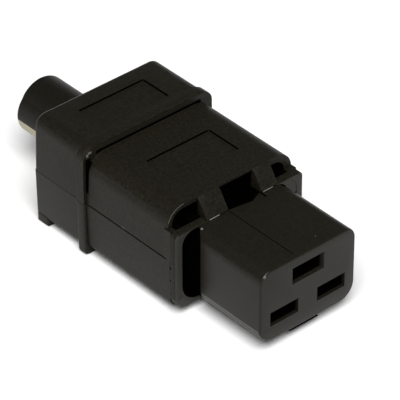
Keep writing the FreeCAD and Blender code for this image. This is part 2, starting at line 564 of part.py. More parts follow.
pieces = [contact_carrier(), upper_shell(), lower_shell(), cord_sleeve()]
poles = (("line", "0 - poleSpacing / 2", "0 - poleDrop"), ("neutral", "poleSpacing / 2", "0 - poleDrop"),
         ("earth", "0", "earthRise"))
for name, y, z in poles:
    earth = name == "earth"
    seat = "(%s - contactHeight / 2 + tailSheet)" % z if earth else "(%s + contactHeight / 2)" % z
    pieces.append(contact(name + "_contact", y, z, earth))
    pieces.append(pillar_box(name + "_terminal", y, seat))
    plate_z = "(%s + wireBore + 1 - plateThick / 2)" % seat
    pieces.append(wire_plate(name + "_wire_plate", y, plate_z))
    pieces.append(screw(name + "_terminal_screw", terminalMiddle, y, "(%s + terminalHeight + terminalScrewLift)" % seat,
                        "terminalScrewShank", "terminalScrewHead", "terminalScrewHeadHeight",
                        "terminalHeight + terminalScrewLift - wireBore - 1 - plateThick / 2"))
pieces.append(cord_clamp())
for hand, x, y in clamp_places():
    pieces.append(screw("clamp_screw_" + hand, x, y, "(partingRise + clampLift - 1 + clampThick)", "clampScrewShank",
                        "clampScrewHead", "clampScrewHeadHeight", "clampScrewLength"))
for name, x, y in screw_places():
    pieces.append(screw("housing_screw_" + name, x, y, screw_head(name), "screwShank",
                        "screwHead", "screwHeadHeight", "screwLength", down=False))

doc.recompute()

for item in doc.Objects:
    if "Invalid" in item.State or "Error" in item.State:
        raise RuntimeError("failed feature: %s %s" % (item.Label, item.State))
for piece in pieces:
    shape = piece.Shape
    if shape.isNull() or not shape.isValid():
        raise RuntimeError("bad shape: " + piece.Label)
    print("%-26s solids %d volume %9.1f" % (piece.Label, len(shape.Solids), shape.Volume))
for piece in pieces:
    piece.Shape.exportStep("parts/" + piece.Label + ".step")
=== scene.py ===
import json
import math
import bmesh
import bpy
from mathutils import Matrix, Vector

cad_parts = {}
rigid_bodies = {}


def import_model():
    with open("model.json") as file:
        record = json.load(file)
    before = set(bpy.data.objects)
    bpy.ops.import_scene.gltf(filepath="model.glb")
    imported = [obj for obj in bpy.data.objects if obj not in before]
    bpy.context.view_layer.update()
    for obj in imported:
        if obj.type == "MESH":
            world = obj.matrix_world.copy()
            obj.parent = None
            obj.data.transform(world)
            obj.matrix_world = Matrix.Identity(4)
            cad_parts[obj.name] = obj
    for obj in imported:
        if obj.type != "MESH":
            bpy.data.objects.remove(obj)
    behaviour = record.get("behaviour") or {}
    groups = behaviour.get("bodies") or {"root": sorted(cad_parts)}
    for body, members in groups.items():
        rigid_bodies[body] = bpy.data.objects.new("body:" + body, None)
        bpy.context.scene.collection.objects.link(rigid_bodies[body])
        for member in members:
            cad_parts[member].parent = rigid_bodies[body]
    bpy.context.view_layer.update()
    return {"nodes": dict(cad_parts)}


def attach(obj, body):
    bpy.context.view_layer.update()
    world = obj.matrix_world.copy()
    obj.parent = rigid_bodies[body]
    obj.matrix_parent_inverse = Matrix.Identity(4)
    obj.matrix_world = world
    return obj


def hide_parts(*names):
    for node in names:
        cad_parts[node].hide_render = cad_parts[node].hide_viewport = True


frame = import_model()
print("frame loaded")

mm = 0.001  # lengths are written in millimetres, and the helpers turn them to metres


def deselectAll():
    for thing in bpy.context.view_layer.objects:
        thing.select_set(False)


def pickPiece(piece):  # the next operators act on this piece alone
    deselectAll()
    piece.select_set(True)
    bpy.context.view_layer.objects.active = piece


def editStart(piece):
    pickPiece(piece)
    bpy.ops.object.mode_set(mode="EDIT")
    bpy.ops.mesh.select_mode(type="VERT")
    bpy.ops.mesh.select_all(action="SELECT")


def editEnd():
    bpy.ops.object.mode_set(mode="OBJECT")


def point(vert):  # a corner's place in mm
    return vert.co * 1000


def chooseVerts(piece, pick):
    bpy.ops.mesh.select_all(action="DESELECT")
    mesh = bmesh.from_edit_mesh(piece.data)
    for vert in mesh.verts:
        vert.select_set(pick(point(vert)))
    mesh.select_flush(True)
    bmesh.update_edit_mesh(piece.data)


def chooseEdges(piece, pick):
    bpy.ops.mesh.select_mode(type="EDGE")
    bpy.ops.mesh.select_all(action="DESELECT")
    mesh = bmesh.from_edit_mesh(piece.data)
    for edge in mesh.edges:
        edge.select_set(pick(point(edge.verts[0]), point(edge.verts[1])))
    bmesh.update_edit_mesh(piece.data)


def chooseFaces(piece, pick):
    bpy.ops.mesh.select_mode(type="FACE")
    bpy.ops.mesh.select_all(action="DESELECT")
    mesh = bmesh.from_edit_mesh(piece.data)
    for face in mesh.faces:
        face.select_set(pick(face.calc_center_median() * 1000, face.normal))
    bmesh.update_edit_mesh(piece.data)


def near(first, second):
    return abs(first - second) < 0.02


def alongX(a, b):  # an edge that runs from the rear to the front
    return near(a.z, b.z) and abs(a.x - b.x) > 0.05 and abs(a.y - b.y) < 1.0


def alongXAt(a, b, z):
    return alongX(a, b) and near(a.z, z)


def upright(a, b):
    return abs(a.z - b.z) > 0.5


def bothAtX(a, b, x):  # an edge that lies in one cross-section
    return near(a.x, x) and near(b.x, x)


def eachSide(side, inner, outer):  # one span across, on the left (-1) or on the right (1)
    return sorted((side * inner, side * outer))


def named(name):
    piece = bpy.context.active_object
    piece.name = name
    piece.data.name = name
    return piece


def makeBox(name, low, high):
    deselectAll()
    bpy.ops.mesh.primitive_cube_add(size=mm)
    piece = named(name)
    spans = [abs(high[i] - low[i]) for i in range(3)]
    middle = [(high[i] + low[i]) / 2 * mm for i in range(3)]
    editStart(piece)
    bpy.ops.transform.resize(value=spans, center_override=(0, 0, 0))
    bpy.ops.transform.translate(value=middle)
    editEnd()
    return piece


def makeRod(name, axis, centre, radius, low, high, sides=64):  # along x at (y, z), or along z at (x, y)
    deselectAll()
    bpy.ops.mesh.primitive_cylinder_add(vertices=sides, radius=radius * mm, depth=(high - low) * mm)
    piece = named(name)
    middle = (low + high) / 2
    place = (centre[0], centre[1], middle)
    editStart(piece)
    if axis == "x":
        bpy.ops.transform.rotate(value=math.pi / 2, orient_axis="Y", center_override=(0, 0, 0))
        place = (middle, centre[0], centre[1])
    bpy.ops.transform.translate(value=[length * mm for length in place])
    editEnd()
    return piece


def pushOutline(name, outline, low, high, along):  # a closed outline on one plane, pushed along x, y or z
    deselectAll()
    bpy.ops.mesh.primitive_circle_add(vertices=len(outline), radius=mm, fill_type="NGON")
    piece = named(name)
    axis = "xyz".index(along)
    push = [0, 0, 0]
    push[axis] = (high - low) * mm
    editStart(piece)
    mesh = bmesh.from_edit_mesh(piece.data)
    for vert, corner in zip(mesh.verts, outline):
        place = list(corner)
        place.insert(axis, low)
        vert.co = [length * mm for length in place]
    bmesh.update_edit_mesh(piece.data)
    bpy.ops.mesh.extrude_region_move(TRANSFORM_OT_translate={"value": push})
    mesh = bmesh.from_edit_mesh(piece.data)
    for vert in mesh.verts:
        if vert.select:
            vert.co[axis] = high * mm  # exactly, so that it lies flush with what is cut beside it
    bmesh.update_edit_mesh(piece.data)
    bpy.ops.mesh.select_all(action="SELECT")
    bpy.ops.mesh.normals_make_consistent(inside=False)
    editEnd()
    return piece


def bevelEdges(piece, pick, width, segments=6):
    editStart(piece)
    chooseEdges(piece, pick)
    bpy.ops.mesh.bevel(offset=width * mm, segments=segments, profile=0.5, clamp_overlap=True)
    editEnd()


def combine(piece, tool, operation):  # the tool is used up
    change = piece.modifiers.new("change", "BOOLEAN")
    change.object = tool
    change.operation = operation
    change.solver = "EXACT"
    pickPiece(piece)
    bpy.ops.object.modifier_apply(modifier=change.name)
    bpy.data.objects.remove(tool, do_unlink=True)


def add(piece, tool):
    combine(piece, tool, "UNION")


def cut(piece, tool):
    combine(piece, tool, "DIFFERENCE")


def cutBox(piece, low, high, radius=0, pick=None):
    tool = makeBox("tool", low, high)
    if radius:
        bevelEdges(tool, pick or (lambda a, b: abs(a.x - b.x) > 0.05), radius)
    cut(piece, tool)


def drill(piece, axis, centre, radius, low, high, sides=64):
    cut(piece, makeRod("tool", axis, centre, radius, low, high, sides))


def finishPiece(piece, material, nodeName, softAngle=28):
    editStart(piece)
    bpy.ops.mesh.remove_doubles(threshold=0.003 * mm)
    bpy.ops.mesh.dissolve_degenerate(threshold=0.002 * mm)
    bpy.ops.mesh.normals_make_consistent(inside=False)
    editEnd()
    pickPiece(piece)
    bpy.ops.object.shade_smooth_by_angle(angle=math.radians(softAngle))
    piece.data.materials.clear()
    piece.data.materials.append(material)
    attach(piece, "root")
    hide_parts(nodeName)
    print(piece.name, "has", len(piece.data.polygons), "faces")


def addMath(nodes, links, operation, first, second):  # each input is a socket or a fixed value
    step = nodes.new("ShaderNodeMath")
    step.operation = operation
    for socket, value in zip(step.inputs, (first, second)):
        if isinstance(value, bpy.types.NodeSocket):
            links.new(value, socket)
        else:
            socket.default_value = value
    return step.outputs["Value"]


def addVectorMath(nodes, links, operation, source, fixed):
    step = nodes.new("ShaderNodeVectorMath")
    step.operation = operation
    step.inputs[1].default_value = fixed
    links.new(source, step.inputs[0])
    return step


def insideBox(nodes, links, place, low, high):  # 1 inside a box, 0 outside it
    middle = [(low[i] + high[i]) / 2 * mm for i in range(3)]
    reach = [(high[i] - low[i]) / 2 * mm for i in range(3)]
    offset = addVectorMath(nodes, links, "SUBTRACT", place, middle)
    size = addVectorMath(nodes, links, "ABSOLUTE", offset.outputs["Vector"], (0, 0, 0))
    share = addVectorMath(nodes, links, "DIVIDE", size.outputs["Vector"], reach)
    parts = nodes.new("ShaderNodeSeparateXYZ")
    links.new(share.outputs["Vector"], parts.inputs["Vector"])
    larger = addMath(nodes, links, "MAXIMUM", parts.outputs["X"], parts.outputs["Y"])
    largest = addMath(nodes, links, "MAXIMUM", larger, parts.outputs["Z"])
    return addMath(nodes, links, "LESS_THAN", largest, 1.0)


def insideAny(nodes, links, place, boxes):
    inside = insideBox(nodes, links, place, *boxes[0])
    for low, high in boxes[1:]:
        inside = addMath(nodes, links, "MAXIMUM", inside, insideBox(nodes, links, place, low, high))
    return inside


def painted(nodes, links, under, mask, colour):
    over = nodes.new("ShaderNodeMix")
    over.data_type = "RGBA"
    over.inputs["B"].default_value = (*colour, 1)
    links.new(under, over.inputs["A"])
    links.new(mask, over.inputs["Factor"])
    return over.outputs["Result"]


def mottled(nodes, links, place, colour, mottle):  # cloudy patches, darker and lighter than the colour
    patches = nodes.new("ShaderNodeTexNoise")
    patches.inputs["Scale"].default_value = 1500
    patches.inputs["Detail"].default_value = 6
    patches.inputs["Roughness"].default_value = 0.7
    spread = nodes.new("ShaderNodeMapRange")
    spread.inputs["From Min"].default_value = 0.3
    spread.inputs["From Max"].default_value = 0.7
    mix = nodes.new("ShaderNodeMix")
    mix.data_type = "RGBA"
    mix.inputs["A"].default_value = (*[part * (1 - mottle) for part in colour], 1)
    mix.inputs["B"].default_value = (*[part * (1 + mottle) for part in colour], 1)
    links.new(place, patches.inputs["Vector"])
    links.new(patches.outputs["Fac"], spread.inputs["Value"])
    links.new(spread.outputs["Result"], mix.inputs["Factor"])
    return mix.outputs["Result"]


def addGrain(nodes, links, place, shader, scale, depth):  # fine moulded texture
    fine = nodes.new("ShaderNodeTexNoise")
    fine.inputs["Scale"].default_value = scale
    fine.inputs["Detail"].default_value = 3
    bump = nodes.new("ShaderNodeBump")
    bump.inputs["Strength"].default_value = 0.8
    bump.inputs["Distance"].default_value = depth * mm
    links.new(place, fine.inputs["Vector"])
    links.new(fine.outputs["Fac"], bump.inputs["Height"])
    links.new(bump.outputs["Normal"], shader.inputs["Normal"])


def plastic(name, look):  # dull moulded plastic, with painted shade (near black, without sheen) in its hollows and paler boxes of painted light, painted highlights and a few specks
    material = bpy.data.materials.new(name)
    material.use_nodes = True
    nodes, links = material.node_tree.nodes, material.node_tree.links
    shader = nodes["Principled BSDF"]
    shader.inputs["Roughness"].default_value = look["roughness"]
    shader.inputs["Specular IOR Level"].default_value = look["specular"]
    place = nodes.new("ShaderNodeTexCoord").outputs["Object"]
    shade = mottled(nodes, links, place, look["colour"], look["mottle"])
    # paler boxes: painted light and painted highlights, and a few specks
    for low, high, tone in look.get("paintedLightAndSpecks", {}).values():
        shade = painted(nodes, links, shade, insideBox(nodes, links, place, low, high), tone)
    if "reflectionStrip" in look:  # painted reflection: all that lies far enough in one direction
        reach = addVectorMath(nodes, links, "DOT_PRODUCT", place, look["reflectionStrip"]["towards"])
        past = addMath(nodes, links, "GREATER_THAN", reach.outputs["Value"], look["reflectionStrip"]["from"] * mm)
        shade = painted(nodes, links, shade, past, look["reflectionStrip"]["colour"])
    # painted shade: the hollow boxes go near black and lose their sheen
    if "paintedShade" in look:
        inside = insideAny(nodes, links, place, list(look["paintedShade"].values()))
        shade = painted(nodes, links, shade, inside, (0.0008, 0.0008, 0.0006))
        sheen = nodes.new("ShaderNodeMapRange")
        sheen.inputs["To Min"].default_value = look["specular"]
        sheen.inputs["To Max"].default_value = 0.0
        links.new(inside, sheen.inputs["Value"])
        links.new(sheen.outputs["Result"], shader.inputs["Specular IOR Level"])
    links.new(shade, shader.inputs["Base Color"])
    addGrain(nodes, links, place, shader, look["grain"], look["grainDepth"])
    return material


def metal(name, colour, roughness):
    material = bpy.data.materials.new(name)
    material.use_nodes = True
    shader = material.node_tree.nodes["Principled BSDF"]
    shader.inputs["Base Color"].default_value = (*colour, 1)
    shader.inputs["Metallic"].default_value = 1
    shader.inputs["Roughness"].default_value = roughness
    return material


# the pieces inside keep their own shape and only get a finish
clampLook = {"colour": (0.03, 0.03, 0.03), "mottle": 0.1, "roughness": 0.5, "specular": 0.12,
             "grain": 1500, "grainDepth": 0.02}
finishes = {
    "contact_brass": metal("contact_brass", (0.70, 0.52, 0.26), 0.3),
    "plated_steel": metal("plated_steel", (0.60, 0.60, 0.58), 0.35),
    "clamp_plastic": plastic("clamp_plastic", clampLook),
}
innerSlots = {"screw": "plated_steel", "plate": "plated_steel", "terminal": "contact_brass",
              "contact": "contact_brass", "clamp": "clamp_plastic"}  # the first word that a node's name holds
for nodeName, node in frame["nodes"].items():
    if nodeName in ("upper_shell", "lower_shell", "contact_carrier", "cord_sleeve"):
        continue
    slotName = next(slot for word, slot in innerSlots.items() if word in nodeName)
    node.data.materials.clear()
    node.data.materials.append(finishes[slotName])
print("inner pieces finished")

# both shells share these sizes: x runs from the rear to the mating face at 0, z is up
shell = {
    "parting": 1.8, "rear": -71.0, "wall": 2.0, "insideHalf": 16.4, "insideFront": -30.5,
    "insideTop": 12.8, "capInsideTop": 14.4, "insideBottom": -8.9, "bottomRadius": 1.5,
    "bodyHalf": 18.47, "bodyTopHalf": 17.95, "bodyTop": 14.6, "bodyBottom": -10.5, "bodyTopRadius": 4.5,
    "capHalf": 18.66, "capTopHalf": 18.2, "capTop": 16.4, "capBottom": -10.9, "capTopRadius": 2.8,
    "capEdge": 1.1, "capLowEdge": 0.8, "lipRear": -55.4, "lipFront": -52.75, "lipHalf": 19.1,
    "lipTop": 16.48, "lipBottom": -12.4, "lipTopRadius": 3.2, "lipRadius": 1.1, "lipEdge": 0.4,
    "lipTopEdge": 1.75, "shoulder": -25.3, "collarRear": -24.1, "collarFront": -22.0,
    "cordHeight": 1.8, "sleeveSeat": 6.75,
}
# collar, window and pockets round the nose
front = {
    "windowRear": -25.9, "windowHalf": 16.9, "windowBottom": -9.3, "windowTop": 9.75,
    "windowTopRadius": 3.3, "windowBottomRadius": 5.0, "carrierHalf": 14.15, "carrierFloor": -9.75,
    "collarHalf": 18.65, "collarTop": 9.95, "collarBottom": -10.3, "collarRadius": 3.2,
    "collarTopRadius": 1.1, "collarEdge": 0.25, "pocketRear": -29.0, "pocketTop": 13.7, "pocketHalf": 16.9,
    "pocketRadius": 3.0, "rightPocket": 11.2, "rightPocketTop": 12.9, "middlePocketTop": 14.2,
    "tongueInner": 3.4, "tongueOuter": 9.6, "middleEnd": 6.4, "tongueEdge": 0.25,
    "ejectorMark": (-17.55, -6.9), "ejectorRadius": 0.55,
    "chips": ((-8.6, -7.9), (-6.7, -6.3), (-3.2, -2.7), (0.1, 0.8)),  # heights, on the left edge
}
labels = {  # shallow bare recesses: rear and front, left and right
    "depth": 0.25, "radius": 0.7, "cap": ((-65.8, -56.9), (-9.5, 9.6)), "body": ((-42.9, -32.6), (-9.2, 9.2)),
}
housingLook = {
    "colour": (0.0105, 0.0093, 0.0058), "mottle": 0.6, "roughness": 0.45, "specular": 0.12,
    "grain": 3200, "grainDepth": 0.05,
    "paintedShade": {  # corners of each box that gets painted shade, near black and without sheen
        "pocketsInner": ((-31, -13.5, -9.2), (-25.6, 13.5, 14.3)),
        "pocketsMiddle": ((-31, -15.9, -9.2), (-25.6, 15.9, 12.9)),
        "pocketsOuter": ((-31, -17.0, -9.9), (-25.6, 17.0, 11.2)),
        "window": ((-25.6, -16.97, -9.9), (-22.2, 16.97, 9.78)),
        # painted shade along the walls of the label recesses
        "capLabelRear": ((-65.9, -9.4, 16), (-65.6, 9.2, 16.5)),
        "capLabelSide": ((-65.7, 9.4, 16), (-57, 9.7, 16.5)),
        "bodyLabelRear": ((-43.0, -9.1, 14.2), (-42.7, 8.9, 14.7)),
        "bodyLabelRight": ((-42.8, 9.1, 14.2), (-32.8, 9.35, 14.7)),
        "bodyLabelLeft": ((-42.5, -9.25, 14.2), (-34, -9.12, 14.7)),
        # painted shade in the groove at the lip's foot, in the gap beside the lip and in the seams
        "lipFoot": ((-52.85, -15.2, 14), (-52.45, 15.6, 14.95)),
        "lipSideGap": ((-52.9, -18.35, 5), (-52.0, -16.9, 13.7)),
        "capSeam": ((-70.5, -18.4, 1.7), (-55, -18.0, 2.0)),
        "bodySeam": ((-52.5, -18.28, 1.7), (-25.5, -17.0, 2.3)),
        "collarSeam": ((-24.65, -18.2, -9.2), (-24.05, -17, 1.9)),
    },
    "paintedLightAndSpecks": {  # corners of each box that is paler, and its colour: painted light, painted highlights and a few specks
        # painted light: the lip's rounded front edge is made as light as the top
        "lipFront": ((-53.65, -18.5, 14.9), (-52.6, 18.5, 16.1), (0.0155, 0.0138, 0.0090)),
        # painted light: the collar's front face is made lighter, as front faces catch more light
        "collarFace": ((-22.3, -19, -10.5), (-21.9, 19, 9.8), (0.030, 0.029, 0.025)),
        # painted highlights along the lower front edges of the tongues
        "leftTongueToe": ((-22.25, -9.0, 9.85), (-21.9, -6.1, 10.08), (0.34, 0.34, 0.31)),
        "rightTongueToe": ((-22.25, 6.8, 9.85), (-21.9, 9.6, 10.1), (0.26, 0.26, 0.23)),
        # painted highlight on the shell's edge over the left pocket
        "pocketRim": ((-25.55, -18.2, 11.4), (-25.31, -13.4, 14.7), (0.06, 0.06, 0.055)),
        "lipGlint": ((-53.0, -18.1, 14.3), (-52.6, -17.5, 15.1), (0.13, 0.13, 0.12)),
        "lipGlintAbove": ((-53.0, -17.6, 14.9), (-52.6, -16.6, 15.5), (0.13, 0.13, 0.12)),
        # painted reflection along the cap's rear top edge
        "capRearEdge": ((-70.65, -17.3, 16.0), (-70.2, 17, 16.42), (0.06, 0.06, 0.055)),
        "sideSpeck": ((-40.7, -18.6, 2.1), (-39.5, -18.2, 2.5), (0.05, 0.05, 0.045)),
        "roofSpeck": ((-40.4, -17.6, 13.0), (-40.0, -16.9, 14.5), (0.09, 0.09, 0.08)),
        "roofSpeckFront": ((-39.3, -17.3, 13.4), (-38.9, -16.7, 14.5), (0.07, 0.07, 0.06)),
    },
}
housingPlastic = plastic("housing_plastic", housingLook)


def section(name, span, half, outerHalf, seam, outer, radius, segments):  # sides drafted, outer edges rounded
    piece = makeBox(name, (span[0], -half, seam), (span[1], half, outer))
    editStart(piece)
    chooseVerts(piece, lambda p: near(p.z, outer))
    bpy.ops.transform.resize(value=(1, outerHalf / half, 1), center_override=(0, 0, 0))
    editEnd()
    bevelEdges(piece, lambda a, b: alongXAt(a, b, outer), radius, segments)
    return piece


def flareRear(piece, x, length, across, up, foot):  # draws the rear end out and down to the surface behind it
    editStart(piece)
    chooseFaces(piece, lambda centre, normal: near(centre.x, x) and normal.x < -0.9)
    bpy.ops.mesh.extrude_region_move(TRANSFORM_OT_translate={"value": (-length * mm, 0, 0)})
    bpy.ops.transform.resize(value=(1, across, up), center_override=(0, 0, foot * mm))
    editEnd()


def groove(piece, low, high, half, top, radius, depth):  # a shallow channel round the outside
    ring = makeBox("ring", (low, -half - 1, 0), (high, half + 1, top + 1))
    core = makeBox("core", (low - 1, -half + depth, -1), (high + 1, half - depth, top - depth))
    bevelEdges(core, lambda a, b: alongXAt(a, b, top - depth), radius - depth, 12)
    cut(ring, core)
    cut(piece, ring)


def makeUpperOutside():
    seam = shell["parting"] - 1  # trimmed at the parting afterwards
    piece = section("upper_shell_look", (shell["rear"] + 1, shell["shoulder"]), shell["bodyHalf"],
                    shell["bodyTopHalf"], seam, shell["bodyTop"], shell["bodyTopRadius"], 12)
    cap = section("cap", (shell["rear"], shell["lipFront"] - 0.5), shell["capHalf"], shell["capTopHalf"],
                  seam, shell["capTop"], shell["capTopRadius"], 8)
    bevelEdges(cap, lambda a, b: bothAtX(a, b, shell["rear"]) and max(a.z, b.z) > 2, shell["capEdge"], 5)
    add(piece, cap)
    lipTopHalf, lipFront = shell["lipHalf"] - 0.1, shell["lipFront"]
    lip = section("lip", (shell["lipRear"], lipFront), shell["lipHalf"], lipTopHalf,
                  seam, shell["lipTop"], shell["lipTopRadius"], 8)
    flareRear(lip, shell["lipRear"], 1.1, shell["capTopHalf"] / lipTopHalf,
              (shell["capTop"] - seam) / (shell["lipTop"] - seam), seam)
    bevelEdges(lip, lambda a, b: bothAtX(a, b, lipFront) and min(a.z, b.z) > 15, shell["lipTopEdge"], 8)
    bevelEdges(lip, lambda a, b: bothAtX(a, b, lipFront) and max(a.z, b.z) > 2 and min(a.z, b.z) < 14,
               shell["lipEdge"], 4)
    add(piece, lip)
    cutBox(piece, (-80, -30, -5), (0, 30, shell["parting"]))
    return piece


def hollowUpper(piece):
    rear, half = shell["rear"] + shell["wall"], shell["insideHalf"]
    cutBox(piece, (rear, -half, 0), (shell["insideFront"], half, shell["insideTop"]), 2)
    cutBox(piece, (rear, -half, 0), (shell["lipFront"] - 1, half, shell["capInsideTop"]), 2)


def addCollar(piece):
    add(piece, makeBox("tool", (shell["shoulder"] - 1, -shell["bodyHalf"], shell["parting"]),
                       (shell["collarRear"] + 0.1, shell["bodyHalf"], 9.9)))
    collar = makeBox("collar", (shell["collarRear"], -front["collarHalf"], front["collarBottom"]),
                     (shell["collarFront"], front["collarHalf"], front["collarTop"]))
    bevelEdges(collar, lambda a, b: alongXAt(a, b, front["collarBottom"]), front["collarRadius"], 8)
    bevelEdges(collar, lambda a, b: alongXAt(a, b, front["collarTop"]), front["collarTopRadius"], 3)
    bevelEdges(collar, lambda a, b: bothAtX(a, b, shell["collarFront"]), front["collarEdge"], 2)
    add(piece, collar)
    cutBox(piece, (shell["collarRear"] - 0.05, -front["tongueInner"] - 0.4, 9.5),
           (-21, front["middleEnd"] + 0.4, 11))


def addTongues(piece):  # they slope from the roof down to the collar
    shoulder, roof = shell["shoulder"], shell["bodyTop"] - 0.02
    profile = [(shoulder - 1, 9.0), (shoulder - 1, roof), (shoulder, roof), (shoulder + 0.8, 13.9),
               (shoulder + 2.0, 12.0), (shell["collarFront"], 10.15), (shell["collarFront"], 9.0)]
    spans = ((-front["tongueOuter"], -front["tongueInner"]), (front["middleEnd"], front["rightPocket"]))
    for low, high in spans:
        tongue = pushOutline("tongue", profile, low, high, "y")
        bevelEdges(tongue, lambda a, b: a.x > shoulder - 0.05 and b.x > shoulder - 0.05
                   and max(a.z, b.z) > 9.5 and near(a.y, b.y), front["tongueEdge"], 2)
        add(piece, tongue)


def cutWindow(piece):
    half, top, carrierHalf = front["windowHalf"], front["windowTop"], front["carrierHalf"]
    window = makeBox("window", (front["windowRear"], -half, front["windowBottom"]), (-20, half, top))
    bevelEdges(window, lambda a, b: alongX(a, b) and a.z > 0, front["windowTopRadius"], 8)
    bevelEdges(window, lambda a, b: alongXAt(a, b, front["windowBottom"]), front["windowBottomRadius"], 10)
    cut(piece, window)
    cutBox(piece, (-32, -carrierHalf, 0), (front["pocketRear"] + 0.1, carrierHalf, top))
    cutBox(piece, (front["pocketRear"], -half, 0), (front["windowRear"] + 0.1, half, top))


def cutPockets(piece):
    pockets = ((-front["pocketHalf"], -front["tongueOuter"] + 0.3, front["pocketTop"]),
               (-front["tongueInner"], front["middleEnd"], front["middlePocketTop"]),
               (front["rightPocket"], front["pocketHalf"] - 0.9, front["rightPocketTop"]))
    for low, high, top in pockets:
        outside = max(-low, high)
        cutBox(piece, (front["pocketRear"], low, front["collarTop"]), (shell["shoulder"] + 0.1, high, top),
               front["pocketRadius"],
               lambda a, b: outside > 12 and abs(a.x - b.x) > 0.05 and near(abs(a.y), outside) and a.z > 11)
        cutBox(piece, (front["pocketRear"], low, 9.5), (shell["collarRear"] + 0.05, high, 10.0))


def addRightWing(piece):  # fills the window beside the nose
    wingFront = shell["collarFront"] - 0.1
    add(piece, makeBox("tool", (shell["collarRear"], 14.35, 5.2), (wingFront, 17.2, 9.8)))
    outline = [(11.1, 9.85), (11.1, 9.76), (12.475, 9.32), (13.37, 8.57), (13.95, 7.57), (14.16, 6.69),
               (14.6, 6.69), (14.6, 9.85)]
    add(piece, pushOutline("corner", outline, shell["collarRear"], wingFront, "x"))


def cutLabels(piece):
    for name in ("cap", "body"):
        (rear, ahead), (left, right) = labels[name]
        top = shell[name + "Top"]
        cutBox(piece, (rear, left, top - labels["depth"]), (ahead, right, top + 3), labels["radius"], upright)


def cutSeams(piece):  # the gap beside the lip, the groove along its foot and the seam above the parting
    x = shell["lipFront"]
    outline = [(x - 0.1, 12.8), (x + 0.3, 12.6), (x + 0.35, 9.5), (x + 0.08, 3), (x - 0.1, 3)]
    cut(piece, pushOutline("gap", outline, -20, -17.5, "y"))
    groove(piece, x - 0.05, x + 0.2, shell["capTopHalf"], shell["bodyTop"], shell["bodyTopRadius"], 0.5)
    for side in (-1, 1):
        left, right = eachSide(side, 17.7, 20)
        cutBox(piece, (x, left, 1.5), (shell["shoulder"] - 0.2, right, 2.18))
        left, right = eachSide(side, 18.2, 20)
        cutBox(piece, (-72, left, 1.5), (x, right, 1.92))
    cutBox(piece, (-72, -20, 1.5), (shell["rear"] + 0.4, 20, 1.92))


def wearCollar(piece):
    drill(piece, "x", front["ejectorMark"], front["ejectorRadius"], shell["collarFront"] - 0.15, -21, 24)
    for low, high in front["chips"]:
        cutBox(piece, (-24.3, -19, low), (-23.75, -18.35, high))


upper = makeUpperOutside()
hollowUpper(upper)
print("upper shell hollowed")
for step in (addCollar, addTongues, cutWindow, cutPockets, addRightWing, cutLabels, cutSeams, wearCollar):
    step(upper)
drill(upper, "x", (0, shell["cordHeight"]), shell["sleeveSeat"], -75, -65)
finishPiece(upper, housingPlastic, "upper_shell")

feet = {"rear": -70.8, "front": -66.7, "inner": 12.5, "outer": 18.35, "bottom": -12.4, "edge": 0.5}
posts = {"across": 14, "radius": 3.65, "bottom": -9.6, "top": 1.75, "headRadius": 2.65, "shankRadius": 1.5,
         "places": ((-59.5, shell["capBottom"], -8.5), (-47.6, shell["bodyBottom"], -8.1))}  # x, floor, seat


def makeLowerOutside():
    seam = shell["parting"] + 1  # trimmed at the parting afterwards
    piece = section("lower_shell_look", (shell["rear"] + 1, shell["collarRear"] - 0.4), shell["bodyHalf"],
                    shell["bodyHalf"] - 0.3, seam, shell["bodyBottom"], shell["bottomRadius"], 6)
    cap = section("cap", (shell["rear"], shell["lipFront"] - 0.5), shell["capHalf"], shell["capHalf"] - 0.3,
                  seam, shell["capBottom"], shell["bottomRadius"], 6)
    bevelEdges(cap, lambda a, b: bothAtX(a, b, shell["rear"]) and min(a.z, b.z) < 1, shell["capLowEdge"], 4)
    add(piece, cap)
    lip = section("lip", (shell["lipRear"], shell["lipFront"]), shell["lipHalf"], shell["lipHalf"] - 0.2,
                  seam, shell["lipBottom"], shell["lipRadius"], 8)
    bevelEdges(lip, lambda a, b: near(a.x, b.x) and min(a.z, b.z) < 1, shell["lipEdge"], 4)
    add(piece, lip)
    cutBox(piece, (-80, -30, shell["parting"]), (0, 30, 10))
    return piece


def addFeet(piece):
    for side in (-1, 1):
        left, right = eachSide(side, feet["inner"], feet["outer"])
        foot = makeBox("foot", (feet["rear"], left, feet["bottom"]), (feet["front"], right, -10))
        bevelEdges(foot, lambda a, b: min(a.z, b.z) < feet["bottom"] + 0.1, feet["edge"], 4)
        add(piece, foot)


def hollowLower(piece):
    half, floor = shell["insideHalf"], front["carrierFloor"]
    cutBox(piece, (shell["rear"] + shell["wall"], -half, shell["insideBottom"]),
           (shell["insideFront"], half, 3), 1)
    cutBox(piece, (-37.3, -front["carrierHalf"], floor), (front["pocketRear"] + 0.1, front["carrierHalf"], 3))
    cutBox(piece, (front["pocketRear"], -front["windowHalf"], floor), (-20, front["windowHalf"], 3))


def addPosts(piece):  # each takes a housing screw from below
    for side in (-1, 1):
        for x, floor, seat in posts["places"]:
            centre = (x, side * posts["across"])
            add(piece, makeRod("post", "z", centre, posts["radius"], posts["bottom"], posts["top"], 32))
            drill(piece, "z", centre, posts["headRadius"], floor - 1, seat, 32)
            drill(piece, "z", centre, posts["shankRadius"], -11, 3, 24)


lower = makeLowerOutside()
for step in (addFeet, hollowLower, addPosts):
    step(lower)
drill(lower, "x", (0, shell["cordHeight"]), shell["sleeveSeat"], -75, -65)
finishPiece(lower, housingPlastic, "lower_shell")

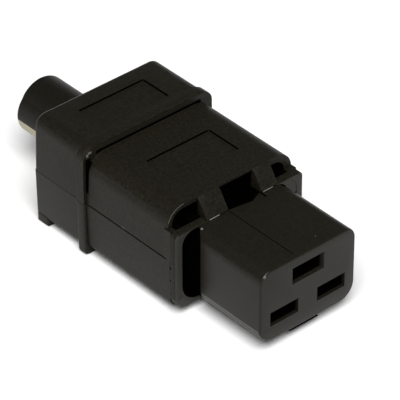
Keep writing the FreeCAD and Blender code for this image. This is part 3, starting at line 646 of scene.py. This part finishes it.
# the block that enters the inlet
nose = {
    "halfWidth": 14.0, "halfHeight": 9.6, "topRadius": 3.2, "bottomRadius": 4.2, "edge": 0.5, "rear": -37.0,
    "slotWidth": 8.2, "slotHeight": 3.7, "slotDepth": 12.0, "slots": ((-6.9, -3.7), (6.9, -3.7), (0, 4.85)),
    "leadInHalf": 4.1, "leadInFront": 4.9, "neckInner": 12.1, "ribBottom": -10.4, "ribEdge": 0.15,
}
carrierLook = {
    "colour": (0.0105, 0.0093, 0.0060), "mottle": 0.35, "roughness": 0.36, "specular": 0.19,
    "grain": 2200, "grainDepth": 0.012,
    "paintedShade": {  # painted shade, near black and without sheen; the first four step round the rounded top edge behind the collar
        "behindLow": ((-40, -15, -9.5), (-19.4, 15, 7.0)),
        "behindMiddle": ((-40, -15, -9.5), (-20.3, 15, 8.45)),
        "behindHigh": ((-40, -15, -9.5), (-21.5, 15, 9.35)),
        "behindTop": ((-40, -15, -10), (-24.3, 15, 10)),
        "notch": ((-27.5, -3.6, 1.5), (-21.2, 6.7, 9.57)),
        # painted shade: a thin dark line where the mould line runs
        "mouldLine": ((-21.9, -3.42, 9.5), (-1.3, -3.22, 9.7)),
        "notchCorner": ((-23, 6.2, 9.5), (-20.6, 6.7, 9.7)),
        # painted shadow under the key rib
        "belowRib": ((-20, -4.9, -11), (-0.2, 3.6, -9.61)),
    },
    "paintedLightAndSpecks": {
        # a painted reflection along the nose's lower side, then painted glints and a speck
        "sideLine": ((-19, -14.1, -6.3), (-0.6, -13.7, -5.9), (0.09, 0.09, 0.085)),
        "rearGlint": ((-21.5, -12.1, 9.2), (-21.0, -11.7, 9.7), (0.18, 0.18, 0.17)),
        "topSpeck": ((-3.0, 4.5, 9.5), (-2.75, 4.75, 9.7), (0.10, 0.10, 0.09)),
        "cornerGlint": ((-0.35, -13.0, 8.4), (0.1, -12.4, 9.0), (0.09, 0.09, 0.085)),
    },
}
# painted shade inside the slots
for index, (y, z) in enumerate(nose["slots"]):
    carrierLook["paintedShade"]["slot%d" % index] = ((-20, y - 4.2, z - 1.95), (-0.9, y + 4.2, z + 1.95))
carrierPlastic = plastic("carrier_plastic", carrierLook)


def makeCarrierBlock():
    piece = makeBox("contact_carrier_look", (nose["rear"], -nose["halfWidth"], -nose["halfHeight"]),
                    (0, nose["halfWidth"], nose["halfHeight"]))
    bevelEdges(piece, lambda a, b: alongX(a, b) and a.z > 0, nose["topRadius"], 10)
    bevelEdges(piece, lambda a, b: alongXAt(a, b, -nose["halfHeight"]), nose["bottomRadius"], 12)
    bevelEdges(piece, lambda a, b: bothAtX(a, b, 0), nose["edge"], 4)
    rib = makeBox("rib", (-20, -4.75, nose["ribBottom"]), (-0.4, 3.55, -9))
    bevelEdges(rib, lambda a, b: max(a.z, b.z) < nose["ribBottom"] + 0.02, nose["ribEdge"], 2)
    add(piece, rib)
    return piece


def cutSlots(piece):
    width, height = nose["slotWidth"] / 2, nose["slotHeight"] / 2
    for y, z in nose["slots"]:
        cutBox(piece, (-nose["slotDepth"], y - width, z - height), (1, y + width, z + height))


def cutNecks(piece):
    outline = [(-28.8, -11), (-19.3, -11), (-19.3, 6.8), (-19.6, 7.7), (-20.3, 8.6), (-21.5, 9.3),
               (-28.8, 9.3)]
    for side in (-1, 1):
        left, right = eachSide(side, nose["neckInner"], 15)
        cut(piece, pushOutline("neck", outline, left, right, "y"))


def cutNotch(piece):
    outline = [(-27, -3.4), (-22.3, -3.4), (-22.3, -2.6), (-21.4, 3.0), (-22.85, 6.5), (-27, 6.5)]
    cut(piece, pushOutline("notch", outline, 2.0, 11, "z"))


def cutEarthLeadIn(piece):  # wider towards the mating face
    half, height = nose["leadInHalf"], nose["slots"][2][1]
    leadIn = makeBox("leadIn", (-1.2, -half, height - 1.85), (0.5, half, height + 1.85))
    editStart(leadIn)
    chooseVerts(leadIn, lambda p: p.x > 0)
    grow = (1, nose["leadInFront"] / half, 2.3 / 1.85)
    bpy.ops.transform.resize(value=grow, center_override=(0, 0, height * mm))
    editEnd()
    cut(piece, leadIn)


carrier = makeCarrierBlock()
for step in (cutSlots, cutNecks, cutNotch, cutEarthLeadIn):
    step(carrier)
finishPiece(carrier, carrierPlastic, "contact_carrier")

sleeve = {
    "radius": 6.65, "bore": 4.9, "end": -91.5, "front": -65.7, "edge": 0.9, "flangeRadius": 8.5,
    "flange": (-68.5, -66.9), "bellyRadius": 6.4, "bellyCentre": (-1.11, 0.8), "bellyFront": -71.3,
    "bellyEdge": 0.8,
}
sleeveLook = {
    "colour": (0.0080, 0.0073, 0.0048), "mottle": 0.4, "roughness": 0.45, "specular": 0.12,
    "grain": 1800, "grainDepth": 0.02,
    "reflectionStrip": {"towards": (0, -0.743, -0.669), "from": 5.45, "colour": (0.45, 0.42, 0.30)},  # a cream painted reflection of the floor along the underside
}
sleeveRubber = plastic("sleeve_rubber", sleeveLook)


def makeSleeve():
    middle, end, ahead = (0, shell["cordHeight"]), sleeve["end"], sleeve["front"]
    tube = makeRod("cord_sleeve_look", "x", middle, sleeve["radius"], end, ahead, 128)
    bevelEdges(tube, lambda a, b: bothAtX(a, b, end), sleeve["edge"], 6)
    belly = makeRod("belly", "x", sleeve["bellyCentre"], sleeve["bellyRadius"], end + 0.15,
                    sleeve["bellyFront"], 128)  # the fuller underside
    bevelEdges(belly, lambda a, b: near(a.x, b.x) and a.x < end + 0.5, sleeve["bellyEdge"], 5)
    add(tube, belly)
    drill(tube, "x", middle, sleeve["bore"], end - 1, ahead + 1, 96)
    add(tube, makeRod("flange", "x", middle, sleeve["flangeRadius"], *sleeve["flange"], 96))
    drill(tube, "x", middle, sleeve["bore"], -80, -60, 96)
    return tube


finishPiece(makeSleeve(), sleeveRubber, "cord_sleeve")

stage = {
    "floorHeight": -12.42, "floorLit": (0.85, 0.85, 0.84, 1), "floorSeen": (1, 1, 1, 1),
    "skyLow": 1.0, "skyHigh": 0.10, "skyFade": (0.10, 0.22),  # it fades between these sines of its height
    "sunEnergy": 3.7, "sunAngle": 40, "sunDirection": (-0.5, 0.4, -1),
    "cameraPlace": (404.36, -387.90, 432.02), "cameraTilt": 53.851, "cameraTurn": 48.582, "lens": 293.9,
}


def seenRays(nodes, links):  # 1 for what the camera, a reflection or a clear piece shows, 0 for other rays
    path = nodes.new("ShaderNodeLightPath")
    either = addMath(nodes, links, "MAXIMUM", path.outputs["Is Camera Ray"], path.outputs["Is Glossy Ray"])
    return addMath(nodes, links, "MAXIMUM", either, path.outputs["Is Transmission Ray"])


def makeFloor():
    deselectAll()
    bpy.ops.mesh.primitive_plane_add(size=40, location=(0, 0, stage["floorHeight"] * mm))
    floor = named("floor")
    material = bpy.data.materials.new("floor")
    material.use_nodes = True
    nodes, links = material.node_tree.nodes, material.node_tree.links
    tone = nodes.new("ShaderNodeMix")
    tone.data_type = "RGBA"
    tone.inputs["A"].default_value = stage["floorLit"]
    tone.inputs["B"].default_value = stage["floorSeen"]
    surface = nodes["Principled BSDF"]
    surface.inputs["Roughness"].default_value = 1
    surface.inputs["Specular IOR Level"].default_value = 0
    links.new(seenRays(nodes, links), tone.inputs["Factor"])
    links.new(tone.outputs["Result"], surface.inputs["Base Color"])
    floor.data.materials.append(material)
    return floor


def makeWorld():  # white along the horizon, dim overhead
    world = bpy.data.worlds.new("world")
    bpy.context.scene.world = world
    world.use_nodes = True
    nodes, links = world.node_tree.nodes, world.node_tree.links
    background = nodes["Background"]
    background.inputs["Color"].default_value = (1, 1, 1, 1)
    heading = nodes.new("ShaderNodeTexCoord")
    height = nodes.new("ShaderNodeSeparateXYZ")
    level = nodes.new("ShaderNodeMapRange")
    level.inputs["From Min"].default_value = stage["skyFade"][0]
    level.inputs["From Max"].default_value = stage["skyFade"][1]
    level.inputs["To Min"].default_value = stage["skyLow"]
    level.inputs["To Max"].default_value = stage["skyHigh"]
    links.new(heading.outputs["Generated"], height.inputs["Vector"])
    links.new(height.outputs["Z"], level.inputs["Value"])
    links.new(level.outputs["Result"], background.inputs["Strength"])


def makeSun():
    data = bpy.data.lights.new("overhead", "SUN")
    data.energy = stage["sunEnergy"]
    data.angle = math.radians(stage["sunAngle"])
    sun = bpy.data.objects.new("overhead", data)
    sun.rotation_euler = Vector(stage["sunDirection"]).to_track_quat("-Z", "Y").to_euler()
    bpy.context.collection.objects.link(sun)


def makeCamera():
    data = bpy.data.cameras.new("camera")
    data.lens = stage["lens"]
    data.sensor_width = 36
    camera = bpy.data.objects.new("camera", data)
    camera.location = [length * mm for length in stage["cameraPlace"]]
    camera.rotation_euler = (math.radians(stage["cameraTilt"]), 0, math.radians(stage["cameraTurn"]))
    bpy.context.collection.objects.link(camera)
    bpy.context.scene.camera = camera


makeFloor()
makeWorld()
makeSun()
makeCamera()
bpy.context.scene.view_settings.view_transform = "Standard"
print("floor, light and camera ready")
